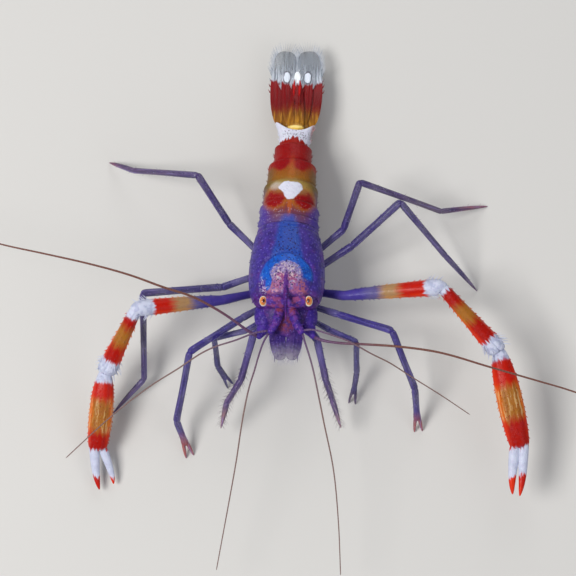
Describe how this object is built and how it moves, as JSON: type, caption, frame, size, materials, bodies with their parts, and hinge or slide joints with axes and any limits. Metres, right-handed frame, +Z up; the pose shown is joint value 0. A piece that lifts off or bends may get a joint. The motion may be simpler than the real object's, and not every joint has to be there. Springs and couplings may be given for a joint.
{
  "type": "cleaner shrimp",
  "caption": "Blue-bodied boxer shrimp standing on its walking legs: banded abdomen and claws, spread tail fan, long feelers; a still model.",
  "frame": {"origin": "on the floor, under the middle of the whole animal's box, feelers included", "axes": "the head looks along -Y, the tail lies along +Y, +X is the animal's left, +Z is up"},
  "size_m": [0.0764, 0.0548, 0.0126],
  "materials": {
    "carapace_shell": "moist violet cuticle with a blue saddle",
    "underside_cuticle": "moist, pale and translucent",
    "abdomen_shell": "moist cuticle banded in violet, red, amber and white",
    "tail_fan_blade": "thin moist blades, amber, red and clear white",
    "leg_cuticle": "moist translucent blue-violet cuticle",
    "claw_cuticle": "moist cuticle banded in red, amber and white",
    "feeler_cuticle": "thin ringed feelers, dull red-brown",
    "cornea": "wet golden eye with a dark pupil spot"
  },
  "bodies": {
    "root": {"carapace": "carapace_shell", "rostrum": "carapace_shell", "thorax": "underside_cuticle", "abdomen_1": "abdomen_shell", "abdomen_2": "abdomen_shell", "abdomen_3": "abdomen_shell", "abdomen_4": "abdomen_shell", "abdomen_5": "abdomen_shell", "abdomen_6": "abdomen_shell", "telson": "tail_fan_blade", "uropod_endopod_left": "tail_fan_blade", "uropod_exopod_left": "tail_fan_blade", "eye_left": "cornea", "eyestalk_left": "carapace_shell", "antennule_left": "carapace_shell", "antenna_base_left": "carapace_shell", "antenna_scale_left": "carapace_shell", "antenna_left_near": "feeler_cuticle", "antenna_left_far": "feeler_cuticle", "antennule_inner_left": "feeler_cuticle", "antennule_outer_left": "feeler_cuticle", "maxilliped_left": "leg_cuticle", "pereiopod_1_left_upper": "leg_cuticle", "pereiopod_1_left_lower": "leg_cuticle", "pereiopod_2_left_upper": "leg_cuticle", "pereiopod_2_left_lower": "leg_cuticle", "pereiopod_4_left_upper": "leg_cuticle", "pereiopod_4_left_lower": "leg_cuticle", "pereiopod_5_left_upper": "leg_cuticle", "pereiopod_5_left_lower": "leg_cuticle", "cheliped_merus_left": "claw_cuticle", "cheliped_carpus_left": "claw_cuticle", "cheliped_palm_left": "claw_cuticle", "cheliped_finger_left": "claw_cuticle", "uropod_endopod_right": "tail_fan_blade", "uropod_exopod_right": "tail_fan_blade", "eye_right": "cornea", "eyestalk_right": "carapace_shell", "antennule_right": "carapace_shell", "antenna_base_right": "carapace_shell", "antenna_scale_right": "carapace_shell", "antenna_right_near": "feeler_cuticle", "antenna_right_far": "feeler_cuticle", "antennule_inner_right": "feeler_cuticle", "antennule_outer_right": "feeler_cuticle", "maxilliped_right": "leg_cuticle", "pereiopod_1_right_upper": "leg_cuticle", "pereiopod_1_right_lower": "leg_cuticle", "pereiopod_2_right_upper": "leg_cuticle", "pereiopod_2_right_lower": "leg_cuticle", "pereiopod_4_right_upper": "leg_cuticle", "pereiopod_4_right_lower": "leg_cuticle", "pereiopod_5_right_upper": "leg_cuticle", "pereiopod_5_right_lower": "leg_cuticle", "cheliped_merus_right": "claw_cuticle", "cheliped_carpus_right": "claw_cuticle", "cheliped_palm_right": "claw_cuticle", "cheliped_finger_right": "claw_cuticle"}
  },
  "joints": []
}
